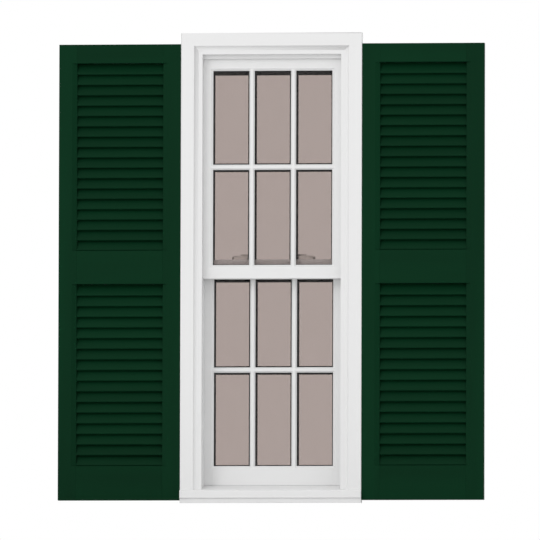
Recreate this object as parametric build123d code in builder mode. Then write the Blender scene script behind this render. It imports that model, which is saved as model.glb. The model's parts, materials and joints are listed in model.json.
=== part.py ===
"""A pair of louvred shutters standing on both sides of a double-hung window.

Millimetres, +Z up. The outside faces -Y and the room is on the +Y side. X = 0 is the middle of
the window, Z = 0 is the underside of its sill, and Y = 0 is halfway through its depth.
"""
import os
from math import atan2, cos, degrees, hypot, radians, sin, tan

from build123d import *

os.makedirs("parts", exist_ok=True)

# Window frame
frame_width = 556.0
frame_height = 1441.0
casing_width = 65.0
casing_thickness = 32.0
casing_band = 40.0
casing_cove_width = 13.0
casing_cove_depth = 9.0
casing_quirk = 2.0
casing_edge_round = 3.0
jamb_depth = 116.0
jamb_thickness = 18.0
dado_depth = 6.0
head_stop_drop = 12.0

# Sill
sill_projection = 12.0
sill_nose_height = 38.0
sill_lip_height = 14.0
sill_lip_setback = 6.0
sill_slope = 10.4
sill_nose_round = 3.0
drip_groove = 5.0
drip_groove_inset = 15.0
sill_upstand = 14.0

# Stops and beads
stop_thickness = 12.0
bead_thickness = 10.0
bead_housing = 5.0
strip_chamfer = 1.5

# Sashes
sash_thickness = 35.0
sash_gap = 1.0
sash_side_gap = 1.5
sash_lap = 9.0
head_gap = 2.0
seat_gap = 2.0
stile_face = 39.0
upper_sash_height = 683.0
top_rail_face = 45.0
meeting_rail_face = 42.0
meeting_upstand = 18.0
meeting_gap = 1.0
meeting_side_gap = 1.0
lower_meeting_rail_face = 55.0
bottom_rail_face = 61.0
sticking = 7.0
sash_tenon_thickness = 8.0
sash_tenon_length = 22.0
sash_tenon_shoulder = 7.0
sash_tenon_setback = 1.0
mortise_clearance = 0.2

# Glazing
glass_thickness = 3.0
glass_space = 12.0
glass_setback = 8.0
glazing_rebate = 12.0
glass_edge_gap = 0.5
spacer_width = 13.0
spacer_bar_width = 10.0
bar_width = 17.0
bar_face_width = 8.0
bar_setback = 1.0
upper_bar_rise = 2.0
lower_bar_rise = 6.0
inner_reveal = 4.0
inner_top_reveal = 12.0
inner_bar_width = 26.0
panes_across = 3

# Sash balances
balance_groove_width = 12.0
balance_groove_depth = 11.0
balance_gap = 0.5
tube_diameter = 9.6
tube_bore = 4.8
tube_bracket_gap = 39.0
tube_anchor_height = 28.0
rod_diameter = 4.0
rod_engagement = 35.0
rod_head_gap = 7.0
bracket_height = 12.0
bracket_inset = 14.0

# Sash locks
lock_bar_distance = 32.0
lock_length = 66.0
lock_width = 24.0
lock_height = 13.0
lock_floor = 3.0
lock_dome_chamfer = 4.0
lock_edge_gap = 1.0
pivot_inset = 8.0
cam_radius = 14.0
cam_thickness = 4.0
cam_half_angle = 50.0
hub_diameter = 10.0
lock_clearance = 0.5
handle_length = 34.0
handle_boss_diameter = 12.0
handle_tip_width = 7.0
handle_thickness = 4.0
handle_chamfer = 1.0
keeper_length = 36.0
keeper_hook_length = 32.0
keeper_wall = 2.5
keeper_edge_gap = 1.0

# Weatherstrips
strip_width = 8.0
strip_gap = 0.3
meeting_strip_depth = 3.0

# Shutters
shutter_width = 375.0
shutter_thickness = 30.0
shutter_base = 9.5
shutter_stile_face = 55.0
shutter_top_rail_face = 57.5
shutter_middle_rail_face = 102.0
shutter_bottom_rail_face = 104.5
upper_field_height = 576.0
lower_field_height = 557.5
bevel_width = 15.0
bevel_depth = 7.0
shutter_edge_round = 1.5
upper_slat_count = 18
lower_slat_count = 17
slat_thickness = 6.5
slat_chamfer = 2.0
slat_overlap = 3.0
slat_front_gap = 0.8
slat_back_gap = 0.5
slat_housing = 6.0
shutter_tenon_thickness = 10.0
shutter_tenon_length = 24.0
shutter_tenon_shoulder = 12.0

# Depths, from the outside to the room
total_depth = sill_projection + casing_thickness + jamb_depth
nose_y = -total_depth / 2
casing_y = nose_y + sill_projection
wall_y = casing_y + casing_thickness
room_y = wall_y + jamb_depth
upper_sash_y = wall_y + stop_thickness + sash_gap
bead_y = upper_sash_y + sash_thickness + sash_gap
lower_sash_y = bead_y + bead_thickness + sash_gap
inner_stop_y = lower_sash_y + sash_thickness + sash_gap
meeting_y = bead_y + bead_thickness / 2
upper_meeting_y = meeting_y - meeting_gap / 2
lower_meeting_y = meeting_y + meeting_gap / 2

# Widths, from the middle
frame_x = frame_width / 2
sight_x = frame_x - casing_width
sash_x = sight_x + sash_lap
jamb_x = sash_x + sash_side_gap
daylight_x = sash_x - stile_face
rebate_x = daylight_x + glazing_rebate

# Heights
head_sight_z = frame_height - casing_width - head_stop_drop
upper_top_z = head_sight_z + sash_lap
upper_bottom_z = upper_top_z - upper_sash_height
head_z = upper_top_z + head_gap
lower_top_z = upper_bottom_z + meeting_rail_face + meeting_upstand
slope = tan(radians(sill_slope))
lower_bottom_z = sill_nose_height + (lower_sash_y - nose_y) * slope
sill_step_z = sill_nose_height + (inner_stop_y - nose_y) * slope
sill_back_z = sill_step_z + sill_upstand

# Planes
sill_plane = Plane(
    origin=(0, nose_y, sill_nose_height),
    x_dir=(1, 0, 0),
    z_dir=(0, -sin(radians(sill_slope)), cos(radians(sill_slope))),
)
lower_seat_plane = sill_plane.offset(seat_gap)
left_mitre = Plane(origin=(-frame_x, 0, frame_height), x_dir=(0, 1, 0), z_dir=(1, 0, 1))
right_mitre = Plane(origin=(frame_x, 0, frame_height), x_dir=(0, 1, 0), z_dir=(-1, 0, 1))


def front_plane(y):
    """A plane facing the outside at this depth, with local X to the right and local Y up."""
    return Plane(origin=(0, y, 0), x_dir=(1, 0, 0), z_dir=(0, -1, 0))


def side_plane(x):
    """A plane facing +X, with local X to the room and local Y up."""
    return Plane(origin=(x, 0, 0), x_dir=(0, 1, 0), z_dir=(1, 0, 0))


def finish(piece, name):
    """Label one finished piece and write its file."""
    piece.label = name
    export_step(piece, f"parts/{name}.step")


def twin(piece, name):
    """Write the same piece, mirrored to the right side of the window."""
    with BuildPart() as other:
        mirror(piece, about=Plane.YZ)
    finish(other.part, name)


# Sill: a sloping block with a nose and horns outside and an upstand at the room side
with BuildSketch(side_plane(0)) as sill_section:
    with BuildLine():
        Polyline(
            (nose_y + sill_lip_setback, 0),
            (nose_y + sill_lip_setback, sill_lip_height),
            (nose_y, sill_lip_height),
            (nose_y, sill_nose_height),
            (inner_stop_y, sill_step_z),
            (inner_stop_y, sill_back_z),
            (room_y, sill_back_z),
            (room_y, 0),
            close=True,
        )
    make_face()

with BuildPart() as sill:
    extrude(sill_section.sketch, amount=frame_x, both=True)
    with BuildSketch():
        for side in (-1, 1):
            with Locations((side * (jamb_x + dado_depth), wall_y)):
                outward = Align.MIN if side > 0 else Align.MAX
                Rectangle(frame_width, jamb_depth, align=(outward, Align.MIN))
    extrude(amount=frame_height, mode=Mode.SUBTRACT)
    fillet(sill.edges().filter_by(Axis.X).group_by(Axis.Y)[0], sill_nose_round)
    with BuildSketch(side_plane(0)):
        with Locations((nose_y + drip_groove_inset, 0)):
            Circle(drip_groove / 2)
    extrude(amount=frame_x, both=True, mode=Mode.SUBTRACT)
finish(sill.part, "sill")


# Jambs: boards beside the sash channels, housed for the head, the sill and the parting bead
with BuildPart() as jamb:
    with BuildSketch():
        with Locations((-jamb_x, wall_y)):
            Rectangle(jamb_thickness, jamb_depth, align=(Align.MAX, Align.MIN))
    extrude(amount=head_z + jamb_thickness)
    extrude(sill_section.sketch, amount=jamb_x + dado_depth, both=True, mode=Mode.SUBTRACT)
    with BuildSketch(Plane.XY.offset(head_z)):
        Rectangle(2 * (jamb_x + dado_depth), 2 * total_depth)
    extrude(amount=jamb_thickness, mode=Mode.SUBTRACT)
    with BuildSketch():
        with Locations((-jamb_x, bead_y)):
            Rectangle(bead_housing, bead_thickness, align=(Align.MAX, Align.MIN))
    extrude(amount=head_z, mode=Mode.SUBTRACT)
finish(jamb.part, "left_jamb")
twin(jamb.part, "right_jamb")

with BuildPart() as head_jamb:
    with BuildSketch(Plane.XY.offset(head_z)):
        with Locations((0, wall_y)):
            Rectangle(2 * (jamb_x + dado_depth), jamb_depth, align=(Align.CENTER, Align.MIN))
    extrude(amount=jamb_thickness)
    with BuildSketch(Plane.XY.offset(head_z)):
        with Locations((0, bead_y)):
            Rectangle(2 * jamb_x, bead_thickness, align=(Align.CENTER, Align.MIN))
    extrude(amount=bead_housing, mode=Mode.SUBTRACT)
finish(head_jamb.part, "head_jamb")


# Casing: a moulding with an outer band, a quirk and a cove, mitred at the top corners
def casing_section(plane):
    """The moulding's section: local X runs in from its outer edge, local Y runs to the wall."""
    cove_x = casing_band + casing_cove_width
    cove_y = casing_quirk + casing_cove_depth
    cove_mid_x = casing_band + casing_cove_width * (1 - cos(radians(45)))
    cove_mid_y = casing_quirk + casing_cove_depth * sin(radians(45))
    round_mid = casing_edge_round * (1 - sin(radians(45)))
    with BuildSketch(plane) as section:
        with BuildLine():
            Line((casing_band, 0), (casing_edge_round, 0))
            ThreePointArc((casing_edge_round, 0), (round_mid, round_mid), (0, casing_edge_round))
            Polyline(
                (0, casing_edge_round),
                (0, casing_thickness),
                (casing_width, casing_thickness),
                (casing_width, cove_y),
                (cove_x, cove_y),
            )
            ThreePointArc((cove_x, cove_y), (cove_mid_x, cove_mid_y), (casing_band, casing_quirk))
            Line((casing_band, casing_quirk), (casing_band, 0))
        make_face()
    return section.sketch


leg_plane = Plane(origin=(-frame_x, casing_y, 0), x_dir=(1, 0, 0), z_dir=(0, 0, 1))
top_plane = Plane(origin=(-frame_x, casing_y, frame_height), x_dir=(0, 0, -1), z_dir=(1, 0, 0))

with BuildPart() as casing:
    extrude(casing_section(leg_plane), amount=frame_height)
    split(bisect_by=left_mitre, keep=Keep.BOTTOM)
    split(bisect_by=sill_plane, keep=Keep.TOP)
finish(casing.part, "left_casing")
twin(casing.part, "right_casing")

with BuildPart() as head_casing:
    extrude(casing_section(top_plane), amount=frame_width)
    split(bisect_by=left_mitre, keep=Keep.TOP)
    split(bisect_by=right_mitre, keep=Keep.TOP)
finish(head_casing.part, "head_casing")


# Stops and beads: strips that make the sash channels
def side_strips(name, start_y, depth, outer_x, foot_plane):
    """A strip down the left jamb, cut to stand on the sill, and its twin on the right."""
    with BuildPart() as strip:
        with BuildSketch():
            with Locations((-outer_x, start_y)):
                Rectangle(outer_x - sight_x, depth, align=(Align.MIN, Align.MIN))
        extrude(amount=head_z)
        split(bisect_by=foot_plane, keep=Keep.TOP)
        chamfer(strip.edges().filter_by(Axis.Z).group_by(Axis.X)[-1], strip_chamfer)
    finish(strip.part, f"left_{name}")
    twin(strip.part, f"right_{name}")


def head_strip(name, start_y, depth, high_z):
    """A strip under the head, between the side strips."""
    with BuildPart() as strip:
        with BuildSketch(side_plane(0)):
            with Locations((start_y, head_sight_z)):
                Rectangle(depth, high_z - head_sight_z, align=(Align.MIN, Align.MIN))
        extrude(amount=sight_x, both=True)
        chamfer(strip.edges().filter_by(Axis.X).group_by(Axis.Z)[0], strip_chamfer)
    finish(strip.part, f"head_{name}")


side_strips("blind_stop", wall_y, stop_thickness, jamb_x, sill_plane)
head_strip("blind_stop", wall_y, stop_thickness, head_z)
side_strips("parting_bead", bead_y, bead_thickness, jamb_x + bead_housing, sill_plane)
head_strip("parting_bead", bead_y, bead_thickness, head_z + bead_housing)
side_strips("inner_stop", inner_stop_y, stop_thickness, jamb_x, Plane.XY.offset(sill_back_z))
head_strip("inner_stop", inner_stop_y, stop_thickness, head_z)


# Sashes
class Sash:
    """Where one sash stands, and what its daylight and glass follow from."""

    def __init__(self, name, front_y, ends, low_rail_face, high_rail_face, stop_rise, bar_rise):
        bottom_z, top_z = ends
        self.name = name
        self.front_y = front_y
        self.back_y = front_y + sash_thickness
        self.middle_y = front_y + sash_thickness / 2
        self.bottom_z = bottom_z
        self.top_z = top_z
        self.day_low_z = bottom_z + low_rail_face
        self.day_high_z = top_z - high_rail_face
        self.glass_y = front_y + glass_setback
        self.inner_glass_y = self.glass_y + glass_thickness + glass_space
        self.stop_y = self.inner_glass_y + glass_thickness
        self.stop_low_z = self.day_low_z + stop_rise
        self.middle_z = (self.day_low_z + self.day_high_z) / 2
        self.bar_z = self.middle_z + bar_rise
        tenon_inset = glazing_rebate + sash_tenon_setback
        self.low_tenon = (bottom_z + sash_tenon_shoulder, self.day_low_z - tenon_inset)
        self.high_tenon = (self.day_high_z + tenon_inset, top_z - sash_tenon_shoulder)

    def bar_centres(self):
        """Middles of the upright bars, left to right."""
        pane = (2 * daylight_x - (panes_across - 1) * bar_width) / panes_across
        return [-daylight_x + pane + bar_width / 2 + i * (pane + bar_width) for i in range(panes_across - 1)]


upper = Sash(
    "upper_sash",
    upper_sash_y,
    (upper_bottom_z, upper_top_z),
    meeting_rail_face,
    top_rail_face,
    meeting_upstand,
    upper_bar_rise,
)
lower = Sash(
    "lower_sash",
    lower_sash_y,
    (lower_bottom_z, lower_top_z),
    bottom_rail_face,
    lower_meeting_rail_face,
    -glazing_rebate,
    lower_bar_rise,
)


def opening_face(sash, y, margin):
    """A face over the sash's daylight at this depth, wider by a margin on every side."""
    with BuildSketch(front_plane(y)) as face:
        with Locations((0, sash.middle_z)):
            Rectangle(2 * (daylight_x + margin), sash.day_high_z - sash.day_low_z + 2 * margin)
    return face.sketch


def glazing_cut(sash):
    """What is cut from the sash for the daylight, its bevelled edge and the rebate of the glass."""
    with BuildPart() as cut:
        extrude(opening_face(sash, sash.back_y, 0), amount=sash_thickness)
        extrude(opening_face(sash, sash.back_y, glazing_rebate), amount=sash.back_y - sash.glass_y)
        extrude(opening_face(sash, sash.front_y + sticking, 0), amount=sticking, taper=-45)
    return cut.part


def sash_stiles(sash, cut):
    """The two stiles, with a balance groove at the edge and a mortise for each rail."""
    with BuildPart() as stile:
        with BuildSketch(Plane.XY.offset(sash.bottom_z)):
            with Locations((-sash_x, sash.front_y)):
                Rectangle(stile_face, sash_thickness, align=(Align.MIN, Align.MIN))
        extrude(amount=sash.top_z - sash.bottom_z)
        if sash is lower:
            split(bisect_by=lower_seat_plane, keep=Keep.TOP)
        add(cut, mode=Mode.SUBTRACT)
        with BuildSketch(Plane.XY.offset(sash.bottom_z)):
            with Locations((-sash_x, sash.middle_y)):
                Rectangle(balance_groove_depth, balance_groove_width, align=(Align.MIN, Align.CENTER))
        extrude(amount=sash.top_z - sash.bottom_z, mode=Mode.SUBTRACT)
        with BuildSketch(side_plane(-daylight_x)):
            for low_z, high_z in (sash.low_tenon, sash.high_tenon):
                with Locations((sash.middle_y, (low_z + high_z) / 2)):
                    Rectangle(
                        sash_tenon_thickness + 2 * mortise_clearance,
                        high_z - low_z + 2 * mortise_clearance,
                    )
        extrude(amount=-sash_tenon_length - mortise_clearance, mode=Mode.SUBTRACT)
    finish(stile.part, f"{sash.name}_left_stile")
    twin(stile.part, f"{sash.name}_right_stile")


def rail_solid(sash, cut, low_z, high_z, tenon):
    """A plain rail between the stiles, with a tenon at each end."""
    with BuildPart() as rail:
        with BuildSketch(front_plane(sash.back_y)):
            with Locations((0, low_z)):
                Rectangle(2 * daylight_x, high_z - low_z, align=(Align.CENTER, Align.MIN))
        extrude(amount=sash_thickness)
        add(cut, mode=Mode.SUBTRACT)
        with BuildSketch(front_plane(sash.middle_y + sash_tenon_thickness / 2)):
            with Locations((0, tenon[0])):
                Rectangle(
                    2 * (daylight_x + sash_tenon_length),
                    tenon[1] - tenon[0],
                    align=(Align.CENTER, Align.MIN),
                )
        extrude(amount=sash_tenon_thickness)
    return rail.part


def sash_glazing(sash, cut):
    """Two panes with a spacer between them, bars outside, and stops with bars inside."""
    pane_x = rebate_x - glass_edge_gap
    pane_low_z = sash.day_low_z - glazing_rebate + glass_edge_gap
    pane_high_z = sash.day_high_z + glazing_rebate - glass_edge_gap
    pane_height = pane_high_z - pane_low_z
    bars = sash.bar_centres()
    with BuildPart() as outer_glass:
        with BuildSketch(front_plane(sash.glass_y + glass_thickness)):
            with Locations((0, sash.middle_z)):
                Rectangle(2 * pane_x, pane_height)
        extrude(amount=glass_thickness)
    finish(outer_glass.part, f"{sash.name}_outer_glass")
    with BuildPart() as inner_glass:
        with BuildSketch(front_plane(sash.stop_y)):
            with Locations((0, sash.middle_z)):
                Rectangle(2 * pane_x, pane_height)
        extrude(amount=glass_thickness)
    finish(inner_glass.part, f"{sash.name}_inner_glass")
    with BuildPart() as spacer:
        with BuildSketch(front_plane(sash.inner_glass_y)):
            with Locations((0, sash.middle_z)):
                Rectangle(2 * pane_x, pane_height)
                Rectangle(2 * (pane_x - spacer_width), pane_height - 2 * spacer_width, mode=Mode.SUBTRACT)
            with Locations((0, sash.bar_z)):
                Rectangle(2 * pane_x - spacer_width, spacer_bar_width)
            with Locations([(x, sash.middle_z) for x in bars]):
                Rectangle(spacer_bar_width, pane_height - spacer_width)
        extrude(amount=glass_space)
    finish(spacer.part, f"{sash.name}_spacer")
    with BuildPart() as outer_bars:
        bar_y = sash.front_y + bar_setback
        with BuildSketch(Plane.XY.offset(sash.day_low_z - sticking)):
            for x in bars:
                with BuildLine():
                    Polyline(
                        (x - bar_width / 2, sash.glass_y),
                        (x + bar_width / 2, sash.glass_y),
                        (x + bar_face_width / 2, bar_y),
                        (x - bar_face_width / 2, bar_y),
                        close=True,
                    )
                make_face()
        extrude(amount=sash.day_high_z - sash.day_low_z + 2 * sticking)
        with BuildSketch(side_plane(0)):
            with BuildLine():
                Polyline(
                    (sash.glass_y, sash.bar_z - bar_width / 2),
                    (sash.glass_y, sash.bar_z + bar_width / 2),
                    (bar_y, sash.bar_z + bar_face_width / 2),
                    (bar_y, sash.bar_z - bar_face_width / 2),
                    close=True,
                )
            make_face()
        extrude(amount=daylight_x + sticking, both=True)
        add(cut, mode=Mode.INTERSECT)
    finish(outer_bars.part, f"{sash.name}_outer_bars")
    stop_high_z = sash.day_high_z + glazing_rebate
    light_low_z = sash.stop_low_z if sash is upper else sash.day_low_z + inner_reveal
    light_high_z = sash.day_high_z - inner_top_reveal
    with BuildPart() as inner_bars:
        with BuildSketch(front_plane(sash.back_y)):
            with Locations((0, (sash.stop_low_z + stop_high_z) / 2)):
                Rectangle(2 * rebate_x, stop_high_z - sash.stop_low_z)
            with Locations((0, (light_low_z + light_high_z) / 2)):
                Rectangle(2 * (daylight_x - inner_reveal), light_high_z - light_low_z, mode=Mode.SUBTRACT)
            with Locations((0, sash.bar_z)):
                Rectangle(2 * daylight_x, inner_bar_width)
            with Locations([(x, (light_low_z + light_high_z) / 2) for x in bars]):
                Rectangle(inner_bar_width, light_high_z - light_low_z)
        extrude(amount=sash.back_y - sash.stop_y)
    finish(inner_bars.part, f"{sash.name}_inner_bars")


upper_cut = glazing_cut(upper)
lower_cut = glazing_cut(lower)
for sash, cut in ((upper, upper_cut), (lower, lower_cut)):
    sash_stiles(sash, cut)
    sash_glazing(sash, cut)

with BuildPart() as upper_top_rail:
    add(rail_solid(upper, upper_cut, upper.day_high_z, upper.top_z, upper.high_tenon))
finish(upper_top_rail.part, "upper_sash_top_rail")

with BuildPart() as upper_meeting_rail:
    add(rail_solid(upper, upper_cut, upper.bottom_z, upper.day_low_z, upper.low_tenon))
    with BuildSketch(front_plane(upper_meeting_y)):
        with Locations((0, upper.bottom_z)):
            Rectangle(2 * daylight_x, lower_top_z - upper.bottom_z, align=(Align.CENTER, Align.MIN))
    extrude(amount=upper_meeting_y - upper.stop_y)
    with BuildSketch(front_plane(upper_meeting_y)):
        with Locations((0, upper.bottom_z)):
            Rectangle(
                2 * (sight_x - meeting_side_gap),
                lower_top_z - upper.bottom_z,
                align=(Align.CENTER, Align.MIN),
            )
    extrude(amount=upper_meeting_y - upper.back_y)
finish(upper_meeting_rail.part, "upper_sash_meeting_rail")

strip_z = (upper.bottom_z + lower_top_z) / 2
with BuildPart() as lower_meeting_rail:
    add(rail_solid(lower, lower_cut, lower.day_high_z, lower.top_z, lower.high_tenon))
    with BuildSketch(front_plane(lower.front_y)):
        with Locations((0, lower.day_high_z)):
            Rectangle(
                2 * (sight_x - meeting_side_gap),
                lower.top_z - lower.day_high_z,
                align=(Align.CENTER, Align.MIN),
            )
    extrude(amount=lower.front_y - lower_meeting_y)
    with BuildSketch(front_plane(lower_meeting_y)):
        with Locations((0, strip_z)):
            Rectangle(2 * (sight_x - meeting_side_gap), strip_width)
    extrude(amount=-meeting_strip_depth, mode=Mode.SUBTRACT)
finish(lower_meeting_rail.part, "lower_sash_meeting_rail")

with BuildPart() as lower_bottom_rail:
    add(rail_solid(lower, lower_cut, lower.bottom_z, lower.day_low_z, lower.low_tenon))
    split(bisect_by=lower_seat_plane, keep=Keep.TOP)
finish(lower_bottom_rail.part, "lower_sash_bottom_rail")


# Weatherstrips: one on the upper sash, one between the meeting rails, one under the lower sash
with BuildPart() as head_weatherstrip:
    with BuildSketch(Plane.XY.offset(upper.top_z)):
        with Locations((0, upper.middle_y)):
            Rectangle(2 * daylight_x, strip_width)
    extrude(amount=head_gap - strip_gap)
finish(head_weatherstrip.part, "head_weatherstrip")

with BuildPart() as meeting_weatherstrip:
    with BuildSketch(front_plane(lower_meeting_y + meeting_strip_depth)):
        with Locations((0, strip_z)):
            Rectangle(2 * (sight_x - meeting_side_gap), strip_width)
    extrude(amount=meeting_strip_depth + meeting_gap - strip_gap)
finish(meeting_weatherstrip.part, "meeting_weatherstrip")

with BuildPart() as sill_weatherstrip:
    with BuildSketch(lower_seat_plane):
        with Locations((0, (lower.middle_y - nose_y) / cos(radians(sill_slope)))):
            Rectangle(2 * daylight_x, strip_width)
    extrude(amount=strip_gap - seat_gap)
finish(sill_weatherstrip.part, "sill_weatherstrip")


# Sash balances: a tube hangs beside each stile from the head, and a rod in it carries the sash
groove_floor_x = sash_x - balance_groove_depth
tube_x = groove_floor_x + balance_gap + tube_diameter / 2
tube_low_z = upper.bottom_z + bracket_inset + bracket_height + tube_bracket_gap
tube_length = head_z - tube_low_z
sash_travel = tube_length - tube_anchor_height - rod_engagement - rod_head_gap
for name, sash in (("upper", upper), ("lower", lower)):
    with BuildPart() as tubes:
        with BuildSketch(Plane.XY.offset(tube_low_z)):
            with Locations([(side * tube_x, sash.middle_y) for side in (-1, 1)]):
                Circle(tube_diameter / 2)
                Circle(tube_bore / 2, mode=Mode.SUBTRACT)
        extrude(amount=tube_length - tube_anchor_height)
        with BuildSketch(Plane.XY.offset(head_z - tube_anchor_height)):
            for side in (-1, 1):
                with Locations((side * (groove_floor_x + balance_gap + jamb_x) / 2, sash.middle_y)):
                    Rectangle(
                        jamb_x - groove_floor_x - balance_gap,
                        balance_groove_width - 2 * balance_gap,
                    )
        extrude(amount=tube_anchor_height)
    finish(tubes.part, f"{name}_balance_tubes")
    rod_low_z = sash.bottom_z + bracket_inset
    if sash is upper:
        rod_high_z = tube_low_z + rod_engagement + sash_travel
    else:
        rod_high_z = tube_low_z + rod_engagement
    with BuildPart() as rods:
        with BuildSketch(Plane.XY.offset(rod_low_z)):
            for side in (-1, 1):
                with Locations((side * (groove_floor_x + sash_x - balance_gap) / 2, sash.middle_y)):
                    Rectangle(balance_groove_depth - balance_gap, balance_groove_width)
        extrude(amount=bracket_height)
        with BuildSketch(Plane.XY.offset(rod_low_z)):
            with Locations([(side * tube_x, sash.middle_y) for side in (-1, 1)]):
                Circle(rod_diameter / 2)
        extrude(amount=rod_high_z - rod_low_z)
    finish(rods.part, f"{name}_balance_rods")


# Sash locks: a domed housing on the lower sash, a lever whose cam swings out of it, and a keeper
lock_x = upper.bar_centres()[-1] + lock_bar_distance
lock_front_y = lower_meeting_y + lock_edge_gap
pivot_y = lock_front_y + pivot_inset
cam_low_z = lock_floor + lock_clearance
chamber_height = cam_thickness + 2 * lock_clearance
lock_top_z = lower_top_z + lock_height
lock_positions = [(side * lock_x, pivot_y) for side in (-1, 1)]

with BuildPart() as lock_housings:
    with BuildSketch(Plane.XY.offset(lower_top_z)):
        with Locations([(side * lock_x, lock_front_y + lock_width / 2) for side in (-1, 1)]):
            SlotOverall(lock_length, lock_width)
    extrude(amount=lock_height)
    chamfer(lock_housings.edges().group_by(Axis.Z)[-1], lock_dome_chamfer)
    with BuildSketch(Plane.XY.offset(lower_top_z + lock_floor)):
        with Locations(lock_positions):
            Circle(cam_radius + lock_clearance)
            Rectangle(2 * (cam_radius + lock_clearance), lock_width, align=(Align.CENTER, Align.MAX))
    extrude(amount=chamber_height, mode=Mode.SUBTRACT)
    with BuildSketch(Plane.XY.offset(lower_top_z + lock_floor)):
        with Locations(lock_positions):
            Circle(hub_diameter / 2 + lock_clearance)
    extrude(amount=lock_height, mode=Mode.SUBTRACT)
finish(lock_housings.part, "lock_housings")

with BuildPart() as lock_lever:
    cam_plane = Plane(origin=(-lock_x, pivot_y, lower_top_z + cam_low_z))
    with BuildSketch(cam_plane):
        Circle(hub_diameter / 2)
        with BuildLine():
            reach_x = cam_radius * sin(radians(cam_half_angle))
            reach_y = cam_radius * cos(radians(cam_half_angle))
            Polyline((-reach_x, reach_y), (0, 0), (reach_x, reach_y))
            ThreePointArc((reach_x, reach_y), (0, cam_radius), (-reach_x, reach_y))
        make_face()
    extrude(amount=cam_thickness)
    with BuildSketch(cam_plane):
        Circle(hub_diameter / 2)
    extrude(amount=lock_height + lock_clearance - cam_low_z)
    with BuildSketch(Plane(origin=(-lock_x, pivot_y, lock_top_z + lock_clearance))):
        Circle(handle_boss_diameter / 2)
        with Locations((handle_length - handle_tip_width / 2, 0)):
            Circle(handle_tip_width / 2)
        make_hull()
    extrude(amount=handle_thickness)
    chamfer(lock_lever.edges().group_by(Axis.Z)[-1], handle_chamfer)
finish(lock_lever.part, "left_lock_lever")
twin(lock_lever.part, "right_lock_lever")

keeper_low_y = upper.stop_y + keeper_edge_gap
keeper_high_y = upper_meeting_y - keeper_edge_gap
hook_y = pivot_y - cam_radius - lock_clearance
hook_top_z = lower_top_z + cam_low_z + cam_thickness + lock_clearance + keeper_wall
with BuildPart() as lock_keepers:
    for side in (-1, 1):
        with BuildSketch(Plane.XY.offset(lower_top_z)):
            with Locations((side * lock_x, (keeper_low_y + keeper_high_y) / 2)):
                RectangleRounded(keeper_length, keeper_high_y - keeper_low_y, keeper_wall)
        extrude(amount=keeper_wall)
        with BuildSketch(side_plane(side * lock_x)):
            with BuildLine():
                Polyline(
                    (hook_y, lower_top_z + keeper_wall),
                    (hook_y, hook_top_z - keeper_wall),
                    (keeper_high_y, hook_top_z - keeper_wall),
                    (keeper_high_y, hook_top_z),
                    (hook_y - keeper_wall, hook_top_z),
                    (hook_y - keeper_wall, lower_top_z + keeper_wall),
                    close=True,
                )
            make_face()
        extrude(amount=keeper_hook_length / 2, both=True)
finish(lock_keepers.part, "lock_keepers")


# Shutters: stiles and rails with tenons, and louvres housed in the stiles
shutter_y = wall_y - shutter_thickness
shutter_middle_y = shutter_y + shutter_thickness / 2
shutter_outer_x = -frame_x - shutter_width
shutter_middle_x = -frame_x - shutter_width / 2
louvre_x = shutter_outer_x + shutter_stile_face
louvre_length = shutter_width - 2 * shutter_stile_face
lower_field_z = shutter_base + shutter_bottom_rail_face
middle_rail_z = lower_field_z + lower_field_height
upper_field_z = middle_rail_z + shutter_middle_rail_face
top_rail_z = upper_field_z + upper_field_height
shutter_top_z = top_rail_z + shutter_top_rail_face
shutter_rails = (
    ("bottom_rail", shutter_base, lower_field_z),
    ("middle_rail", middle_rail_z, upper_field_z),
    ("top_rail", top_rail_z, shutter_top_z),
)
slat_depth = shutter_thickness - bevel_depth - slat_front_gap - slat_back_gap
slat_middle_y = shutter_y + bevel_depth + slat_front_gap + slat_depth / 2
slat_edge_reach = hypot(slat_thickness / 2, slat_thickness / 2 - slat_chamfer)


class Field:
    """One stack of louvres between two rails."""

    def __init__(self, name, low_z, height, count):
        self.name = name
        self.low_z = low_z
        self.height = height
        pitch = (height - slat_overlap) / count
        run = slat_depth - 2 * slat_edge_reach
        rise = pitch + slat_overlap - 2 * slat_edge_reach
        self.tilt = degrees(atan2(rise, run))
        self.slat_width = hypot(run, rise) + slat_thickness
        first_z = low_z + (pitch + slat_overlap) / 2
        self.places = [(slat_middle_y, first_z + i * pitch) for i in range(count)]


fields = (
    Field("upper_slats", upper_field_z, upper_field_height, upper_slat_count),
    Field("lower_slats", lower_field_z, lower_field_height, lower_slat_count),
)

with BuildPart() as shutter_stile:
    with BuildSketch(Plane.XY.offset(shutter_base)):
        with Locations((shutter_outer_x, shutter_y)):
            Rectangle(shutter_stile_face, shutter_thickness, align=(Align.MIN, Align.MIN))
    extrude(amount=shutter_top_z - shutter_base)
    fillet(shutter_stile.edges().filter_by(Axis.Z).group_by(Axis.X)[0], shutter_edge_round)
    for field in fields:
        with BuildSketch(Plane.XY.offset(field.low_z)):
            with BuildLine():
                Polyline(
                    (louvre_x - bevel_width, shutter_y),
                    (louvre_x, shutter_y),
                    (louvre_x, shutter_y + bevel_depth),
                    close=True,
                )
            make_face()
        extrude(amount=field.height, mode=Mode.SUBTRACT)
        with BuildSketch(side_plane(louvre_x)):
            with Locations(field.places):
                Rectangle(
                    field.slat_width + 2 * mortise_clearance,
                    slat_thickness + 2 * mortise_clearance,
                    rotation=field.tilt,
                )
        extrude(amount=-slat_housing, mode=Mode.SUBTRACT)
    with BuildSketch(side_plane(louvre_x)):
        for _, low_z, high_z in shutter_rails:
            with Locations((shutter_middle_y, (low_z + high_z) / 2)):
                Rectangle(
                    shutter_tenon_thickness + 2 * mortise_clearance,
                    high_z - low_z - 2 * (shutter_tenon_shoulder - mortise_clearance),
                )
    extrude(amount=-shutter_tenon_length - mortise_clearance, mode=Mode.SUBTRACT)
shutter_mirror = Plane.YZ.offset(shutter_middle_x)
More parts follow.
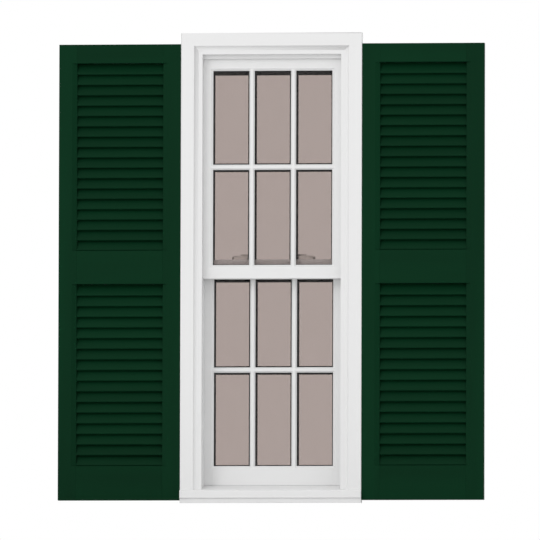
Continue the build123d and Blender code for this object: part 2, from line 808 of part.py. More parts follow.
with BuildPart() as shutter_inner_stile:
    mirror(shutter_stile.part, about=shutter_mirror)
finish(shutter_stile.part, "left_shutter_outer_stile")
twin(shutter_stile.part, "right_shutter_outer_stile")
finish(shutter_inner_stile.part, "left_shutter_inner_stile")
twin(shutter_inner_stile.part, "right_shutter_inner_stile")

for rail_name, low_z, high_z in shutter_rails:
    with BuildPart() as shutter_rail:
        with BuildSketch(front_plane(wall_y)):
            with Locations((shutter_middle_x, low_z)):
                Rectangle(louvre_length, high_z - low_z, align=(Align.CENTER, Align.MIN))
        extrude(amount=shutter_thickness)
        with BuildSketch(front_plane(shutter_middle_y + shutter_tenon_thickness / 2)):
            with Locations((shutter_middle_x, (low_z + high_z) / 2)):
                Rectangle(
                    louvre_length + 2 * shutter_tenon_length,
                    high_z - low_z - 2 * shutter_tenon_shoulder,
                )
        extrude(amount=shutter_tenon_thickness)
    finish(shutter_rail.part, f"left_shutter_{rail_name}")
    twin(shutter_rail.part, f"right_shutter_{rail_name}")

for field in fields:
    with BuildPart() as slats:
        with BuildSketch(side_plane(shutter_middle_x)) as slat_sections:
            with Locations(field.places):
                Rectangle(field.slat_width, slat_thickness, rotation=field.tilt)
            chamfer(slat_sections.vertices(), slat_chamfer)
        extrude(amount=louvre_length / 2 + slat_housing - mortise_clearance, both=True)
    finish(slats.part, f"left_shutter_{field.name}")
    twin(slats.part, f"right_shutter_{field.name}")
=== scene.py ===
"""Looks of a pair of louvred shutters and the double-hung window that they stand beside.

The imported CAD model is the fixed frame. This file gives its pieces their paint, glass and metal,
rounds their edges, adds the small fittings, and sets up the light and the camera. Metres, +Z up,
the outside on the -Y side.
"""
import json
import math

import bmesh
import bpy
from bpy.props import FloatProperty, FloatVectorProperty, PointerProperty
from mathutils import Matrix, Quaternion, Vector

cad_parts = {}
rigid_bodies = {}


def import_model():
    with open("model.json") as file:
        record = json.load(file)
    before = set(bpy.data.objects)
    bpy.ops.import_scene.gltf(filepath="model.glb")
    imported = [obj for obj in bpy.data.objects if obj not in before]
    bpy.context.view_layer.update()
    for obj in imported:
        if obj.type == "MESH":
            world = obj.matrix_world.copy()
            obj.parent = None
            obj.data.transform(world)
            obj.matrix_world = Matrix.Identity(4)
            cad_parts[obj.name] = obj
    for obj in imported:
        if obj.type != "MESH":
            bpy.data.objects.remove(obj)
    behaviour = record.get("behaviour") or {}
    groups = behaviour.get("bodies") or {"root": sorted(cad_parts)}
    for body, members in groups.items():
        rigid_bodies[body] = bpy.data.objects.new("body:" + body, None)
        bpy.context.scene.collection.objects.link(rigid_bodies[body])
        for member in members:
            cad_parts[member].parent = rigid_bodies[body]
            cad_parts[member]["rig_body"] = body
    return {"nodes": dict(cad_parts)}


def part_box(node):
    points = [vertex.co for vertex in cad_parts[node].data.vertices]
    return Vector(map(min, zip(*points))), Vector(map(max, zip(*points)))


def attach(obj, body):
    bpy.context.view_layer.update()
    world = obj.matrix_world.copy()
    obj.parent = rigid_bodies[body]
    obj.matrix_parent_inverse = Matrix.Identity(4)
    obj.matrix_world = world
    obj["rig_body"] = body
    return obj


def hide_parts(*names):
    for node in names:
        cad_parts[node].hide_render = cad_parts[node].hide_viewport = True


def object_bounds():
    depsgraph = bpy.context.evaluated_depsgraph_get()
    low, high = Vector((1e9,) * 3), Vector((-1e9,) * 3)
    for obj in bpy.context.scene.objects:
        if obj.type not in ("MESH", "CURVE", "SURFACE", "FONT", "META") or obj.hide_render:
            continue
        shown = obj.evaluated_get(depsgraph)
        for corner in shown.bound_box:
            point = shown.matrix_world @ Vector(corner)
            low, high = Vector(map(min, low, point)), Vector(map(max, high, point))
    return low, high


bl_info = {
    "name": "Louvred shutters and window",
    "version": (1, 0, 0),
    "blender": (4, 5, 0),
    "location": "3D View > Sidebar > Shutters",
    "description": "Paint, glass, fittings, light and camera for louvred shutters and their window",
    "category": "Object",
}

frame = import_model()
cad_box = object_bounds()

SIDES = ("left", "right")
SASHES = ("upper", "lower")
SHUTTER_STILES = ("outer_stile", "inner_stile")
SHUTTER_RAILS = ("top_rail", "middle_rail", "bottom_rail")
SLAT_FIELDS = ("upper_slats", "lower_slats")
STRIPS = ("blind_stop", "parting_bead", "inner_stop")
OUTER_RAILS = {"upper": "top_rail", "lower": "bottom_rail"}

# Reading a CAD mesh: what is merged, what counts as flat, and which edges are rounded
MERGE_DISTANCE = 0.00001
FLAT_ANGLE = math.radians(0.5)
SHARP_ANGLE = math.radians(30)
LONG_EDGE = 0.05
ROUND_SEGMENTS = 2

# Sash balances: a bracket at the foot of each twisted rod
BRACKET_WIDTH = 0.0105
BRACKET_HEIGHT = 0.012
ROD_INSET = 0.0053
ROD_WIDTH = 0.0038
ROD_THICKNESS = 0.0013
ROD_STEP = 0.004
ROD_TWIST_LENGTH = 0.032

# Sash locks and their screws
LOCK_LENGTH = 0.066
LOCK_SCREW_REACH = 0.0255
LOCK_SCREW_RADIUS = 0.0026
KEEPER_SCREW_REACH = 0.0115
KEEPER_SCREW_RADIUS = 0.0022
KEEPER_SCREW_SETBACK = 0.0033
KEEPER_PLATE_THICKNESS = 0.0025
SCREW_HEAD_THICKNESS = 0.0004
SCREW_HEAD_RISE = 0.00005
SCREW_HEAD_SEGMENTS = 24
CROSS_DEPTH = 0.00035

# Sill seal
SEAL_THICKNESS = 0.0017
SEAL_SETBACK = 0.0006
SEAL_END_GAP = 0.001

# Stage
FLOOR_REACH = 30.0
FLOOR_TONE = 0.86
FLOOR_LIFT = 0.5
FOOTING_SETBACK = 0.007
FOOTING_DEPTH = 0.001
FOOTING_GAP = 0.0002
KEY_PLACE = (-10.0, -20.0, 11.0)
KEY_WIDTH = 9.0
VIEW_SHIFT = Vector((-0.0018, 0.0, -0.0087))

# How far the surface grain is drawn out along an axis
ALONG = {"x": (0.06, 1.0, 1.0), "z": (1.0, 1.0, 0.06)}
GRAIN_HEIGHT = 0.0004


class PaintSettings(bpy.types.PropertyGroup):
    """Colours and rounded edges of the painted wood."""

    green: FloatVectorProperty(
        name="Shutter green",
        description="Paint of the shutters",
        subtype="COLOR",
        size=3,
        min=0,
        max=1,
        default=(0.0013, 0.0262, 0.0094),
    )
    white: FloatVectorProperty(
        name="Frame white",
        description="Paint of the frame and the sashes",
        subtype="COLOR",
        size=3,
        min=0,
        max=1,
        default=(0.80, 0.80, 0.80),
    )
    edge: FloatProperty(
        name="Edge round",
        description="How far the painted edges are rounded back",
        subtype="DISTANCE",
        default=0.0006,
        min=0.0001,
        max=0.002,
    )
    slat_round: FloatProperty(
        name="Louvre edge",
        description="How far the front corners of the louvres are rounded back",
        subtype="DISTANCE",
        default=0.0013,
        min=0.0001,
        max=0.0014,
    )


class PaneSettings(bpy.types.PropertyGroup):
    """Glass of the sashes."""

    tint: FloatVectorProperty(
        name="Glass tint",
        description="What one pane lets through",
        subtype="COLOR",
        size=3,
        min=0,
        max=1,
        default=(0.62, 0.565, 0.545),
    )


class StageSettings(bpy.types.PropertyGroup):
    """Light and camera."""

    azimuth: FloatProperty(
        name="Camera azimuth",
        description="How far the camera stands to the right of the window's middle",
        subtype="ANGLE",
        default=math.radians(5.0),
    )
    elevation: FloatProperty(
        name="Camera elevation",
        description="How far the camera stands above the middle of the window",
        subtype="ANGLE",
        default=math.radians(-4.0),
    )
    roll: FloatProperty(
        name="Camera roll",
        description="Turn of the camera about its own axis, which levels the shutters",
        subtype="ANGLE",
        default=math.radians(0.15),
    )
    distance: FloatProperty(
        name="Camera distance",
        description="From the camera to the window",
        subtype="DISTANCE",
        default=40.0,
        min=2.0,
    )
    view_width: FloatProperty(
        name="View width",
        description="Width that the camera sees at the window",
        subtype="DISTANCE",
        default=1.65,
        min=1.0,
    )
    key: FloatProperty(
        name="Key light",
        description="Light that the large lamp at the upper left gives",
        subtype="POWER",
        default=1010.0,
        min=0,
    )
    sky: FloatProperty(
        name="Sky light",
        description="Strength of the even light from all around",
        default=0.92,
        min=0,
    )


# Shader nodes


def add_node(tree, kind, **settings):
    """A new shader node with its settings."""
    node = tree.nodes.new(f"ShaderNode{kind}")
    for name, value in settings.items():
        setattr(node, name, value)
    return node


def join(tree, pairs):
    """Join outputs to inputs, pair by pair."""
    for output, target in pairs:
        tree.links.new(output, target)


def surface_grain_group():
    """Fine lines along a piece and slow changes of tone, each as a mask."""
    group = bpy.data.node_groups.new("Surface grain", "ShaderNodeTree")
    sockets = group.interface
    for name, kind, start in (
        ("Stretch", "NodeSocketVector", (1.0, 1.0, 1.0)),
        ("Line scale", "NodeSocketFloat", 220.0),
        ("Tone scale", "NodeSocketFloat", 9.0),
    ):
        sockets.new_socket(name=name, in_out="INPUT", socket_type=kind).default_value = start
    for name in ("Tone", "Lines"):
        sockets.new_socket(name=name, in_out="OUTPUT", socket_type="NodeSocketFloat")
    entry = group.nodes.new("NodeGroupInput")
    leave = group.nodes.new("NodeGroupOutput")
    place = add_node(group, "TexCoord")
    stretch = add_node(group, "VectorMath", operation="MULTIPLY")
    lines = add_node(group, "TexNoise")
    lines.inputs["Detail"].default_value = 3.0
    lines.inputs["Roughness"].default_value = 0.6
    tone = add_node(group, "TexNoise")
    tone.inputs["Detail"].default_value = 4.0
    tone.inputs["Roughness"].default_value = 0.55
    join(
        group,
        [
            (place.outputs["Object"], stretch.inputs[0]),
            (entry.outputs["Stretch"], stretch.inputs[1]),
            (stretch.outputs["Vector"], lines.inputs["Vector"]),
            (entry.outputs["Line scale"], lines.inputs["Scale"]),
            (stretch.outputs["Vector"], tone.inputs["Vector"]),
            (entry.outputs["Tone scale"], tone.inputs["Scale"]),
            (tone.outputs["Fac"], leave.inputs["Tone"]),
            (lines.outputs["Fac"], leave.inputs["Lines"]),
        ],
    )


# Materials


def plain_material(name, sockets):
    """A material with the Principled shader's own sockets set by name."""
    material = bpy.data.materials.new(name)
    material.use_nodes = True
    shader = material.node_tree.nodes["Principled BSDF"]
    for socket, value in sockets.items():
        shader.inputs[socket].default_value = value
    return material, shader


def grained(name, colour, grain, finish, sockets=None):
    """A material whose tone, gloss and relief follow the surface grain.

    grain sets the group's own inputs. In finish, roughness is the middle of the gloss, swing how
    far it goes up and down, spread how far the colour does, and relief the strength of the bump.
    """
    material, shader = plain_material(name, {"Base Color": (*colour, 1), **(sockets or {})})
    tree = material.node_tree
    group = add_node(tree, "Group", node_tree=bpy.data.node_groups["Surface grain"])
    for socket, value in grain.items():
        group.inputs[socket].default_value = value
    gloss = add_node(tree, "MapRange")
    gloss.inputs["To Min"].default_value = finish["roughness"] - finish["swing"]
    gloss.inputs["To Max"].default_value = finish["roughness"] + finish["swing"]
    pairs = [
        (group.outputs["Lines"], gloss.inputs["Value"]),
        (gloss.outputs["Result"], shader.inputs["Roughness"]),
    ]
    if "spread" in finish:
        spread = finish["spread"]
        tone = add_node(tree, "Mix", data_type="RGBA")
        tone.inputs["A"].default_value = (*[c * (1 - spread) for c in colour], 1)
        tone.inputs["B"].default_value = (*[min(1, c * (1 + spread)) for c in colour], 1)
        pairs += [
            (group.outputs["Tone"], tone.inputs["Factor"]),
            (tone.outputs["Result"], shader.inputs["Base Color"]),
        ]
    if "relief" in finish:
        bump = add_node(tree, "Bump")
        bump.inputs["Strength"].default_value = finish["relief"]
        bump.inputs["Distance"].default_value = GRAIN_HEIGHT
        pairs += [
            (group.outputs["Lines"], bump.inputs["Height"]),
            (bump.outputs["Normal"], shader.inputs["Normal"]),
        ]
    join(tree, pairs)
    return material


def green_paint(axis):
    """Dark green satin paint with its lines along one axis."""
    name = f"green_paint_{axis}"
    if name not in bpy.data.materials:
        grained(
            name,
            bpy.context.scene.shutter_paint.green,
            {"Stretch": ALONG[axis]},
            {"roughness": 0.5, "swing": 0.06, "spread": 0.35, "relief": 0.35},
            {"Specular IOR Level": 0.05},
        )
    return bpy.data.materials[name]


def white_paint(axis):
    """White satin paint with its lines along one axis."""
    name = f"white_paint_{axis}"
    if name not in bpy.data.materials:
        grained(
            name,
            bpy.context.scene.shutter_paint.white,
            {"Stretch": ALONG[axis]},
            {"roughness": 0.4, "swing": 0.06, "spread": 0.02, "relief": 0.15},
            {"Specular IOR Level": 0.4},
        )
    return bpy.data.materials[name]


def satin_metal(name, colour, roughness):
    """Plated metal with fine scratches in its gloss."""
    return grained(
        name,
        colour,
        {"Stretch": (0.3, 1.0, 1.0), "Line scale": 900.0, "Tone scale": 60.0},
        {"roughness": roughness, "swing": 0.08},
        {"Metallic": 1.0},
    )


def dark_bars_and_painted_shade():
    """Near-black metal of the spacers and the inside bars: the spacers' own dark finish, and
    painted shade where the inside bars, wider than the outside ones, stand in for the shade lines
    at the edges of the panes.
    """
    return grained(
        "dark_bars_and_painted_shade",
        # Near-black so that the inside bars show as painted shade lines beside the panes
        (0.004, 0.003, 0.0025),
        {"Stretch": ALONG["z"], "Line scale": 700.0, "Tone scale": 30.0},
        {"roughness": 0.6, "swing": 0.08, "spread": 0.3, "relief": 0.05},
        {"Specular IOR Level": 0.15},
    )


def balance_tube():
    """Pale vinyl tube, with the faint lines of its making along it."""
    return grained(
        "balance_tube",
        (0.7, 0.7, 0.68),
        {"Stretch": ALONG["z"], "Line scale": 500.0, "Tone scale": 20.0},
        {"roughness": 0.45, "swing": 0.07, "spread": 0.05, "relief": 0.08},
    )


def brush_pile():
    """Grey brush weatherstrip of short upright fibres."""
    return grained(
        "brush_pile",
        (0.3, 0.3, 0.31),
        {"Stretch": (1.0, 1.0, 0.15), "Line scale": 2500.0, "Tone scale": 900.0},
        {"roughness": 0.92, "swing": 0.05, "spread": 0.45, "relief": 0.9},
    )


def white_vinyl():
    """Soft matt white vinyl, with the faint lines of its making along it."""
    return grained(
        "white_vinyl",
        (0.8, 0.8, 0.8),
        {"Stretch": ALONG["x"], "Line scale": 900.0, "Tone scale": 25.0},
        {"roughness": 0.6, "swing": 0.06, "spread": 0.02, "relief": 0.05},
    )


def window_glass(tint):
    """Tinted glass that lets the light and the gloss of the pieces behind it through."""
    material, shader = plain_material(
        "window_glass",
        {
            "Base Color": (*tint, 1),
            "Roughness": 0.0,
            "Metallic": 0.0,
            "IOR": 1.5,
            "Specular Tint": (0.3, 0.3, 0.3, 1),
            "Transmission Weight": 1.0,
        },
    )
    tree = material.node_tree
    path = add_node(tree, "LightPath")
    light = add_node(tree, "Math", operation="MAXIMUM")
    gloss = add_node(tree, "Math", operation="GREATER_THAN")
    either = add_node(tree, "Math", operation="MAXIMUM")
    clear = add_node(tree, "BsdfTransparent")
    clear.inputs["Color"].default_value = (0.97, 0.97, 0.97, 1)
    mix = add_node(tree, "MixShader")
    join(
        tree,
        [
            (path.outputs["Is Shadow Ray"], light.inputs[0]),
            (path.outputs["Is Diffuse Ray"], light.inputs[1]),
            (path.outputs["Is Glossy Ray"], gloss.inputs[0]),
            (path.outputs["Is Transmission Ray"], gloss.inputs[1]),
            (light.outputs["Value"], either.inputs[0]),
            (gloss.outputs["Value"], either.inputs[1]),
            (either.outputs["Value"], mix.inputs["Fac"]),
            (shader.outputs["BSDF"], mix.inputs[1]),
            (clear.outputs["BSDF"], mix.inputs[2]),
            (mix.outputs["Shader"], tree.nodes["Material Output"].inputs["Surface"]),
        ],
    )
    return material


# Pieces


def dress(node, material):
    """Give one CAD node its material."""
    for slot in frame["nodes"][node].material_slots:
        slot.material = material


def mesh_object(name, shape, material):
    """A finished mesh as an object of the scene."""
    mesh = bpy.data.meshes.new(name)
    shape.to_mesh(mesh)
    shape.free()
    mesh.materials.append(material)
    piece = bpy.data.objects.new(name, mesh)
    bpy.context.scene.collection.objects.link(piece)
    return piece


def new_piece(name, shape, material, body):
    """A finished mesh as a piece of the object that rides on one body."""
    piece = mesh_object(name, shape, material)
    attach(piece, body)
    return piece


def copy_of(node):
    """A CAD node's mesh with its loose triangles merged."""
    shape = bmesh.new()
    shape.from_mesh(frame["nodes"][node].data)
    bmesh.ops.remove_doubles(shape, verts=shape.verts, dist=MERGE_DISTANCE)
    return shape


def eased(node, material, width, front_only=False):
    """A copy of a wooden CAD node with its long edges rounded, which stands for it."""
    low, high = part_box(node)
    middle_y = (low.y + high.y) / 2
    shape = copy_of(node)
    bmesh.ops.dissolve_limit(
        shape, angle_limit=FLAT_ANGLE, verts=shape.verts, edges=shape.edges
    )
    edges = [
        edge
        for edge in shape.edges
        if edge.is_manifold
        and edge.is_convex
        and edge.calc_length() > LONG_EDGE
        and edge.calc_face_angle() > SHARP_ANGLE
        and (edge.verts[0].co.y < middle_y or not front_only)
    ]
    bmesh.ops.bevel(
        shape,
        geom=edges,
        offset=width,
        affect="EDGES",
        segments=ROUND_SEGMENTS,
        profile=0.5,
        material=-1,
        clamp_overlap=True,
    )
    piece = new_piece(f"{node}_eased", shape, material, frame["nodes"][node]["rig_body"])
    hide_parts(node)


def box(shape, low, high):
    """A plain box between two corners."""
    low, high = Vector(low), Vector(high)
    size = Matrix.Diagonal((*(high - low), 1))
    bmesh.ops.create_cube(shape, size=1, matrix=Matrix.Translation((low + high) / 2) @ size)


def twisted_rod(shape, middle, low_z, high_z):
    """A flat strip twisted along its length, as the rod of a spiral sash balance."""
    size = Matrix.Diagonal((ROD_WIDTH, ROD_THICKNESS, 1, 1))
    start = bmesh.ops.create_grid(
        shape,
        x_segments=1,
        y_segments=1,
        size=0.5,
        matrix=Matrix.Translation((*middle, low_z)) @ size,
    )
    face = start["verts"][0].link_faces[0]
    steps = round((high_z - low_z) / ROD_STEP)
    turn = Matrix.Rotation(math.tau * ROD_STEP / ROD_TWIST_LENGTH, 3, "Z")
    for _ in range(steps):
        grown = bmesh.ops.extrude_discrete_faces(shape, faces=[face])
        face = grown["faces"][0]
        bmesh.ops.translate(shape, verts=face.verts, vec=(0, 0, (high_z - low_z) / steps))
        bmesh.ops.rotate(shape, verts=face.verts, cent=(*middle, 0), matrix=turn)
    rim = [edge for edge in shape.edges if edge.is_boundary]
    bmesh.ops.holes_fill(shape, edges=rim, sides=4)
    bmesh.ops.recalc_face_normals(shape, faces=shape.faces)


def cross_screw(place, radius):
    """A flat screw head with a cross sunk in it, set flush in a fitting that faces up."""
    place = Vector(place)
    shape = bmesh.new()
    bmesh.ops.create_cone(
        shape,
        cap_ends=True,
        segments=SCREW_HEAD_SEGMENTS,
        radius1=radius,
        radius2=radius * 0.9,
        depth=SCREW_HEAD_THICKNESS,
        matrix=Matrix.Translation(place + Vector((0, 0, SCREW_HEAD_RISE))),
    )
    half_slot, reach = radius * 0.15, radius * 0.62
    for axis in (Vector((1, 0, 0)), Vector((0, 1, 0))):
        for offset in (-reach, -half_slot, half_slot, reach):
            bmesh.ops.bisect_plane(
                shape,
                geom=[*shape.verts, *shape.edges, *shape.faces],
                plane_co=place + axis * offset,
                plane_no=axis,
            )
    shape.normal_update()
    cross = []
    for face in shape.faces:
        middle = face.calc_center_median() - place
        near, far = sorted((abs(middle.x), abs(middle.y)))
        if face.normal.z > 0.9 and near < half_slot and far < reach:
            cross.append(face)
    bmesh.ops.inset_region(shape, faces=cross, thickness=radius * 0.03, depth=-CROSS_DEPTH)
    return shape


class SHUTTERS_OT_leaves(bpy.types.Operator):
    """Paint the stiles and rails of both shutters and round their edges"""

    bl_idname = "shutters.leaves"
    bl_label = "Shutter stiles and rails"

    def execute(self, context):
        width = context.scene.shutter_paint.edge
        for side in SIDES:
            for name in SHUTTER_STILES:
                eased(f"{side}_shutter_{name}", green_paint("z"), width)
            for name in SHUTTER_RAILS:
                eased(f"{side}_shutter_{name}", green_paint("x"), width)
        return {"FINISHED"}


class SHUTTERS_OT_louvres(bpy.types.Operator):
    """Paint the louvres of both shutters and round their front corners"""

    bl_idname = "shutters.louvres"
    bl_label = "Louvres"

    def execute(self, context):
        width = context.scene.shutter_paint.slat_round
        for side in SIDES:
            for name in SLAT_FIELDS:
                node = f"{side}_shutter_{name}"
                eased(node, green_paint("x"), width, front_only=True)
        return {"FINISHED"}


class SHUTTERS_OT_window_frame(bpy.types.Operator):
    """Paint the sill, the jambs, the casing, the stops and the beads"""

    bl_idname = "shutters.window_frame"
    bl_label = "Window frame"

    def execute(self, context):
        width = context.scene.shutter_paint.edge
        for side in SIDES:
            dress(f"{side}_jamb", white_paint("z"))
            for name in ("casing", *STRIPS):
                eased(f"{side}_{name}", white_paint("z"), width)
        dress("head_jamb", white_paint("x"))
        eased("sill", white_paint("x"), width)
        for name in ("casing", *STRIPS):
            eased(f"head_{name}", white_paint("x"), width)
        return {"FINISHED"}


class SHUTTERS_OT_sashes(bpy.types.Operator):
    """Paint the sashes and their outside bars"""

    bl_idname = "shutters.sashes"
    bl_label = "Sashes"

    def execute(self, context):
        width = context.scene.shutter_paint.edge
        for sash in SASHES:
            for axis, names in (
                ("z", ("left_stile", "right_stile")),
                ("x", (OUTER_RAILS[sash], "meeting_rail")),
                ("z", ("outer_bars",)),
            ):
                for name in names:
                    eased(f"{sash}_sash_{name}", white_paint(axis), width)
        return {"FINISHED"}


class SHUTTERS_OT_panes(bpy.types.Operator):
    """Glaze the sashes: tinted panes, dark spacers, and near-black inside bars that paint shade
    lines beside the panes
    """

    bl_idname = "shutters.panes"
    bl_label = "Panes"

    def execute(self, context):
        glass = window_glass(context.scene.shutter_panes.tint)
        bars_and_painted_shade = dark_bars_and_painted_shade()
        for sash in SASHES:
            dress(f"{sash}_sash_outer_glass", glass)
            dress(f"{sash}_sash_inner_glass", glass)
            dress(f"{sash}_sash_spacer", bars_and_painted_shade)
            # The inside bars' near-black is painted shade along the edges of the panes
            dress(f"{sash}_sash_inner_bars", bars_and_painted_shade)
        return {"FINISHED"}


class SHUTTERS_OT_balances(bpy.types.Operator):
    """Finish the tubes of the sash balances and make their twisted rods"""

    bl_idname = "shutters.balances"
    bl_label = "Sash balances"

    def execute(self, context):
        tube = balance_tube()
        steel = satin_metal("balance_rod", (0.5, 0.5, 0.51), 0.32)
        for sash in SASHES:
            dress(f"{sash}_balance_tubes", tube)
            node = f"{sash}_balance_rods"
            low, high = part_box(node)
            middle_y = (low.y + high.y) / 2
            foot_z = low.z + BRACKET_HEIGHT
            shape = bmesh.new()
            for side in (-1, 1):
                outer_x, inner_x = side * high.x, side * (high.x - BRACKET_WIDTH)
                box(
                    shape,
                    (min(outer_x, inner_x), low.y, low.z),
                    (max(outer_x, inner_x), high.y, foot_z),
                )
                rod_x = side * (high.x - BRACKET_WIDTH + ROD_INSET)
                twisted_rod(shape, (rod_x, middle_y), foot_z, high.z)
            piece = new_piece(f"{sash}_spiral_rods", shape, steel, f"{sash}_sash")
            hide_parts(node)
        return {"FINISHED"}


class SHUTTERS_OT_locks(bpy.types.Operator):
    """Finish the sash locks and their keepers and set their screws"""

    bl_idname = "shutters.locks"
    bl_label = "Sash locks"

    def execute(self, context):
        metal = satin_metal("lock_metal", (0.82, 0.81, 0.79), 0.3)
        for node in ("lock_housings", "lock_keepers", "left_lock_lever", "right_lock_lever"):
            dress(node, metal)
        low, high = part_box("lock_housings")
        plate_low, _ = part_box("lock_keepers")
        lock_x = high.x - LOCK_LENGTH / 2
        lock_y = (low.y + high.y) / 2
        keeper_y = plate_low.y + KEEPER_SCREW_SETBACK
        keeper_z = plate_low.z + KEEPER_PLATE_THICKNESS
        for side in (-1, 1):
            for end in (-1, 1):
                mark = f"{side + 1}{end + 1}"
                place = (side * lock_x + end * LOCK_SCREW_REACH, lock_y, high.z)
                shape = cross_screw(place, LOCK_SCREW_RADIUS)
                new_piece(f"lock_screw_{mark}", shape, metal, "lower_sash")
                place = (side * lock_x + end * KEEPER_SCREW_REACH, keeper_y, keeper_z)
                shape = cross_screw(place, KEEPER_SCREW_RADIUS)
                new_piece(f"keeper_screw_{mark}", shape, metal, "upper_sash")
        return {"FINISHED"}


class SHUTTERS_OT_weatherstrips(bpy.types.Operator):
    """Finish the brush weatherstrips and set the seal under the lower sash"""

    bl_idname = "shutters.weatherstrips"
    bl_label = "Weatherstrips"

    def execute(self, context):
        pile = brush_pile()
        dress("head_weatherstrip", pile)
        dress("meeting_weatherstrip", pile)
        node = "sill_weatherstrip"
        low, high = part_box(node)
        rail_low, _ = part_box("lower_sash_bottom_rail")
        _, sash_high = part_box("lower_sash_right_stile")
        forward = low.y - rail_low.y - SEAL_SETBACK
        slope = (high.z - low.z - SEAL_THICKNESS) / (high.y - low.y)
        longer = (sash_high.x - SEAL_END_GAP) / high.x
        shape = copy_of(node)
        bmesh.ops.translate(shape, verts=shape.verts, vec=(0, -forward, -forward * slope))
        bmesh.ops.scale(shape, verts=shape.verts, vec=(longer, 1, 1))
        piece = new_piece("sill_seal", shape, white_vinyl(), "lower_sash")
        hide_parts(node)
        return {"FINISHED"}


# Stage


def white_to_camera(tree, lit, white):
    """Mix two shaders: lit for light, and white where the camera, gloss or glass looks."""
    path = add_node(tree, "LightPath")
    seen = add_node(tree, "Math", operation="MAXIMUM")
    through = add_node(tree, "Math", operation="MAXIMUM")
    mix = add_node(tree, "MixShader")
    join(
        tree,
        [
            (path.outputs["Is Camera Ray"], seen.inputs[0]),
            (path.outputs["Is Glossy Ray"], seen.inputs[1]),
            (seen.outputs["Value"], through.inputs[0]),
            (path.outputs["Is Transmission Ray"], through.inputs[1]),
            (through.outputs["Value"], mix.inputs["Fac"]),
            (lit.outputs[0], mix.inputs[1]),
            (white.outputs[0], mix.inputs[2]),
        ],
    )
    return mix


def studio_world(strength):
    """Even light from all around, and pure white where it is looked at."""
    world = bpy.data.worlds.new("studio")
    bpy.context.scene.world = world
    world.use_nodes = True
    tree = world.node_tree
    lit = tree.nodes["Background"]
    lit.inputs["Color"].default_value = (1, 1, 1, 1)
    lit.inputs["Strength"].default_value = strength
    white = add_node(tree, "Background")
    white.inputs["Color"].default_value = (1, 1, 1, 1)
    mix = white_to_camera(tree, lit, white)
    tree.links.new(mix.outputs["Shader"], tree.nodes["World Output"].inputs["Surface"])


def pale_floor():
    """Pale floor with the object's shadow on it, as white as the backdrop and clear from below."""
    material, shader = plain_material(
        "pale_floor",
        {
            "Base Color": (FLOOR_TONE, FLOOR_TONE, FLOOR_TONE, 1),
            "Roughness": 0.9,
            "Specular IOR Level": 0.0,
        },
    )
    tree = material.node_tree
    path = add_node(tree, "LightPath")
    glow = add_node(tree, "Emission")
    lift = add_node(tree, "Math", operation="MULTIPLY")
    lift.inputs[1].default_value = FLOOR_LIFT
    both = add_node(tree, "AddShader")
    side = add_node(tree, "NewGeometry")
    clear = add_node(tree, "BsdfTransparent")
    surface = add_node(tree, "MixShader")
    join(
        tree,
        [
            (path.outputs["Is Camera Ray"], lift.inputs[0]),
            (lift.outputs["Value"], glow.inputs["Strength"]),
            (shader.outputs["BSDF"], both.inputs[0]),
            (glow.outputs["Emission"], both.inputs[1]),
            (side.outputs["Backfacing"], surface.inputs["Fac"]),
            (both.outputs["Shader"], surface.inputs[1]),
            (clear.outputs["BSDF"], surface.inputs[2]),
            (surface.outputs["Shader"], tree.nodes["Material Output"].inputs["Surface"]),
        ],
    )
    return material


def white_footing():
    """The part of the floor under the sill, white where it is looked at."""
    material, shader = plain_material(
        "white_footing", {"Base Color": (0.8, 0.8, 0.8, 1), "Roughness": 0.9}
    )
    tree = material.node_tree
    mix = white_to_camera(tree, shader, add_node(tree, "Emission"))
    tree.links.new(mix.outputs["Shader"], tree.nodes["Material Output"].inputs["Surface"])
    return material


def soft_lamp(name, place, target, width, power):
    """A square lamp that looks at a point."""
    light = bpy.data.lights.new(name, "AREA")
    light.shape = "SQUARE"
    light.size = width
    light.energy = power
    lamp = bpy.data.objects.new(name, light)
    bpy.context.scene.collection.objects.link(lamp)
    lamp.location = place
    lamp.rotation_euler = (Vector(target) - Vector(place)).to_track_quat("-Z", "Y").to_euler()


def window_camera(stage, target):
    """A camera far away that looks at a point and sees the view width there."""
    camera = bpy.data.objects.new("camera", bpy.data.cameras.new("camera"))
    bpy.context.scene.collection.objects.link(camera)
    bpy.context.scene.camera = camera
    away = Vector(
        (
            math.sin(stage.azimuth) * math.cos(stage.elevation),
            -math.cos(stage.azimuth) * math.cos(stage.elevation),
            math.sin(stage.elevation),
        )
    )
    camera.location = target + away * stage.distance
    facing = (-away).to_track_quat("-Z", "Y") @ Quaternion((0, 0, 1), stage.roll)
    camera.rotation_euler = facing.to_euler()
    camera.data.lens = camera.data.sensor_width * stage.distance / stage.view_width


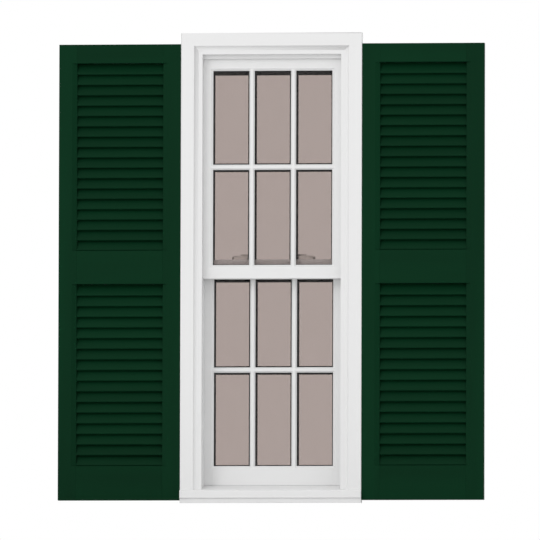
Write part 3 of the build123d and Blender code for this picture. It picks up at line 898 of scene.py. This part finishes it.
class SHUTTERS_OT_stage(bpy.types.Operator):
    """Lay the floor, light the window and place the camera"""

    bl_idname = "shutters.stage"
    bl_label = "Floor, light and camera"

    def execute(self, context):
        stage = context.scene.shutter_stage
        low, high = cad_box
        shape = bmesh.new()
        bmesh.ops.create_grid(
            shape,
            x_segments=1,
            y_segments=1,
            size=FLOOR_REACH,
            matrix=Matrix.Translation((0, 0, low.z)),
        )
        mesh_object("floor", shape, pale_floor())

        sill_low, sill_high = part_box("sill")
        shape = bmesh.new()
        box(
            shape,
            (sill_low.x, sill_low.y + FOOTING_SETBACK, low.z - FOOTING_DEPTH),
            (sill_high.x, sill_high.y, low.z - FOOTING_GAP),
        )
        mesh_object("footing", shape, white_footing())

        target = Vector((0, low.y, (low.z + high.z) / 2)) + VIEW_SHIFT
        studio_world(stage.sky)
        soft_lamp("key", KEY_PLACE, target, KEY_WIDTH, stage.key)
        window_camera(stage, target)
        context.scene.view_settings.view_transform = "Standard"
        return {"FINISHED"}


class SHUTTERS_PT_panel(bpy.types.Panel):
    """Steps and settings of the shutters and their window"""

    bl_idname = "SHUTTERS_PT_panel"
    bl_label = "Shutters and window"
    bl_space_type = "VIEW_3D"
    bl_region_type = "UI"
    bl_category = "Shutters"

    def draw(self, context):
        for name, group in SETTINGS.items():
            settings = getattr(context.scene, name)
            column = self.layout.box().column()
            for setting in group.__annotations__:
                column.prop(settings, setting)
        for operator in OPERATORS:
            self.layout.operator(operator.bl_idname)


SETTINGS = {
    "shutter_paint": PaintSettings,
    "shutter_panes": PaneSettings,
    "shutter_stage": StageSettings,
}
OPERATORS = (
    SHUTTERS_OT_leaves,
    SHUTTERS_OT_louvres,
    SHUTTERS_OT_window_frame,
    SHUTTERS_OT_sashes,
    SHUTTERS_OT_panes,
    SHUTTERS_OT_balances,
    SHUTTERS_OT_locks,
    SHUTTERS_OT_weatherstrips,
    SHUTTERS_OT_stage,
)


def register():
    """Add the settings, the steps and the panel."""
    for name, group in SETTINGS.items():
        bpy.utils.register_class(group)
        setattr(bpy.types.Scene, name, PointerProperty(type=group))
    for cls in (*OPERATORS, SHUTTERS_PT_panel):
        bpy.utils.register_class(cls)


def unregister():
    """Take them away again."""
    for cls in (SHUTTERS_PT_panel, *reversed(OPERATORS)):
        bpy.utils.unregister_class(cls)
    for name, group in SETTINGS.items():
        delattr(bpy.types.Scene, name)
        bpy.utils.unregister_class(group)


def main():
    """Dress the whole object."""
    register()
    surface_grain_group()
    for operator in OPERATORS:
        group, name = operator.bl_idname.split(".")
        getattr(getattr(bpy.ops, group), name)()


if __name__ == "__main__":
    main()
